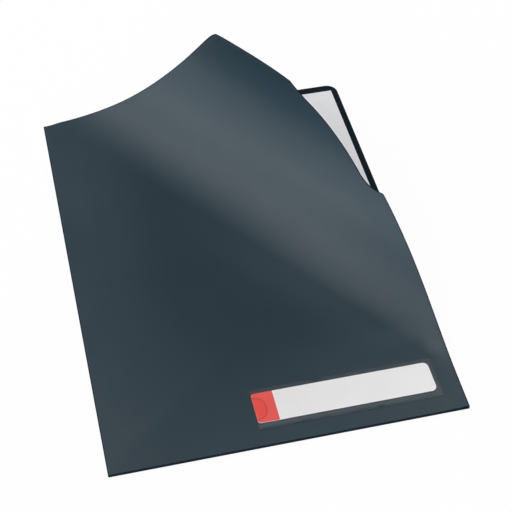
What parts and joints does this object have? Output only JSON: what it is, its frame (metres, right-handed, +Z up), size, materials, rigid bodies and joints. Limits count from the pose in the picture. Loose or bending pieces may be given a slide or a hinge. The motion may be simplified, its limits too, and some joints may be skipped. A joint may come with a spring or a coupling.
{
  "type": "l-shaped document folder",
  "caption": "A4 plastic folder with a curled-back front cover, thumb recess, label pocket with a card, and a sheet of paper inside.",
  "frame": {"origin": "middle of the folder's footprint, on the back sheet's underside, which lies on the table", "axes": "+Z up out of the front, +Y towards the open top edge, +X towards the open right edge, the fold on -X"},
  "size_m": [0.22, 0.31, 0.123],
  "materials": {
    "cover_plastic": "satin, smooth polypropylene",
    "back_plastic": "satin, smooth polypropylene",
    "pocket_film": "thin clear film over the dark cover",
    "label_card": "matt white card with a coral band",
    "document_paper": "matt white paper"
  },
  "bodies": {
    "folder": {"back_panel": "back_plastic", "side_fold": "cover_plastic", "bottom_weld": "back_plastic", "front_cover": "cover_plastic", "pocket_weld": "pocket_film", "pocket_film": "pocket_film"},
    "strip_01": {"cover_strip_01": "cover_plastic"},
    "strip_02": {"cover_strip_02": "cover_plastic"},
    "strip_03": {"cover_strip_03": "cover_plastic"},
    "strip_04": {"cover_strip_04": "cover_plastic"},
    "strip_05": {"cover_strip_05": "cover_plastic"},
    "strip_06": {"cover_strip_06": "cover_plastic"},
    "strip_07": {"cover_strip_07": "cover_plastic"},
    "strip_08": {"cover_strip_08": "cover_plastic"},
    "strip_09": {"cover_strip_09": "cover_plastic"},
    "strip_10": {"cover_strip_10": "cover_plastic"},
    "strip_11": {"cover_strip_11": "cover_plastic"},
    "strip_12": {"cover_strip_12": "cover_plastic"},
    "strip_13": {"cover_strip_13": "cover_plastic"},
    "document": {"document_sheet": "document_paper"},
    "label": {"label_card": "label_card"}
  },
  "joints": [
    {"name": "cover_bend_01", "type": "hinge", "parent": "folder", "child": "strip_01", "pos_m": [0.00932, 0.00697, 0.00145], "axis": [0.5989, -0.8008, 0], "range_deg": [-6.28, 5.5], "stiffness_Nm_per_rad": 0.1018, "springref_deg": 2.07},
    {"name": "cover_bend_02", "type": "hinge", "parent": "strip_01", "child": "strip_02", "pos_m": [0.01963, 0.01468, 0.00287], "axis": [0.5989, -0.8008, 0], "range_deg": [-12.04, 5.5], "stiffness_Nm_per_rad": 0.0942, "springref_deg": 1.58},
    {"name": "cover_bend_03", "type": "hinge", "parent": "strip_02", "child": "strip_03", "pos_m": [0.02948, 0.02205, 0.00694], "axis": [0.5989, -0.8008, 0], "range_deg": [-11.26, 5.5], "stiffness_Nm_per_rad": 0.0863, "springref_deg": 1.13},
    {"name": "cover_bend_04", "type": "hinge", "parent": "strip_03", "child": "strip_04", "pos_m": [0.03851, 0.0288, 0.01334], "axis": [0.5989, -0.8008, 0], "range_deg": [-10.47, 5.5], "stiffness_Nm_per_rad": 0.0785, "springref_deg": 0.76},
    {"name": "cover_bend_05", "type": "hinge", "parent": "strip_04", "child": "strip_05", "pos_m": [0.04646, 0.03475, 0.02168], "axis": [0.5989, -0.8008, 0], "range_deg": [-9.77, 5.5], "stiffness_Nm_per_rad": 0.0707, "springref_deg": 0.45},
    {"name": "cover_bend_06", "type": "hinge", "parent": "strip_05", "child": "strip_06", "pos_m": [0.05316, 0.03976, 0.03159], "axis": [0.5989, -0.8008, 0], "range_deg": [-10.12, 5.5], "stiffness_Nm_per_rad": 0.0629, "springref_deg": 0.21},
    {"name": "cover_bend_07", "type": "hinge", "parent": "strip_06", "child": "strip_07", "pos_m": [0.05836, 0.04365, 0.04281], "axis": [0.5989, -0.8008, 0], "range_deg": [-11.21, 5.5], "stiffness_Nm_per_rad": 0.0521, "springref_deg": 0.04},
    {"name": "cover_bend_08", "type": "hinge", "parent": "strip_07", "child": "strip_08", "pos_m": [0.06173, 0.04617, 0.05514], "axis": [0.5989, -0.8008, 0], "range_deg": [-12.31, 5.5], "stiffness_Nm_per_rad": 0.0429, "springref_deg": -0.07},
    {"name": "cover_bend_09", "type": "hinge", "parent": "strip_08", "child": "strip_09", "pos_m": [0.06292, 0.04706, 0.06809], "axis": [0.5989, -0.8008, 0], "range_deg": [-13.36, 5.5], "stiffness_Nm_per_rad": 0.0351, "springref_deg": -0.13},
    {"name": "cover_bend_10", "type": "hinge", "parent": "strip_09", "child": "strip_10", "pos_m": [0.06168, 0.04613, 0.08102], "axis": [0.5989, -0.8008, 0], "range_deg": [-12.84, 5.5], "stiffness_Nm_per_rad": 0.0272, "springref_deg": -0.13},
    {"name": "cover_bend_11", "type": "hinge", "parent": "strip_10", "child": "strip_11", "pos_m": [0.05817, 0.04351, 0.09329], "axis": [0.5989, -0.8008, 0], "range_deg": [-9.8, 5.5], "stiffness_Nm_per_rad": 0.0216, "springref_deg": -0.09},
    {"name": "cover_bend_12", "type": "hinge", "parent": "strip_11", "child": "strip_12", "pos_m": [0.05303, 0.03966, 0.10465], "axis": [0.5989, -0.8008, 0], "range_deg": [-6.53, 5.5], "stiffness_Nm_per_rad": 0.0156, "springref_deg": -0.04},
    {"name": "cover_bend_13", "type": "hinge", "parent": "strip_12", "child": "strip_13", "pos_m": [0.04689, 0.03507, 0.11521], "axis": [0.5989, -0.8008, 0], "range_deg": [-3.27, 5.5], "stiffness_Nm_per_rad": 0.0078, "springref_deg": -0.01},
    {"name": "document_slide", "type": "slide", "parent": "folder", "child": "document", "axis": [0, 1, 0], "range_m": [-0.004, 0.3]},
    {"name": "label_slide", "type": "slide", "parent": "folder", "child": "label", "axis": [-1, 0, 0], "range_m": [0, 0.115]}
  ]
}
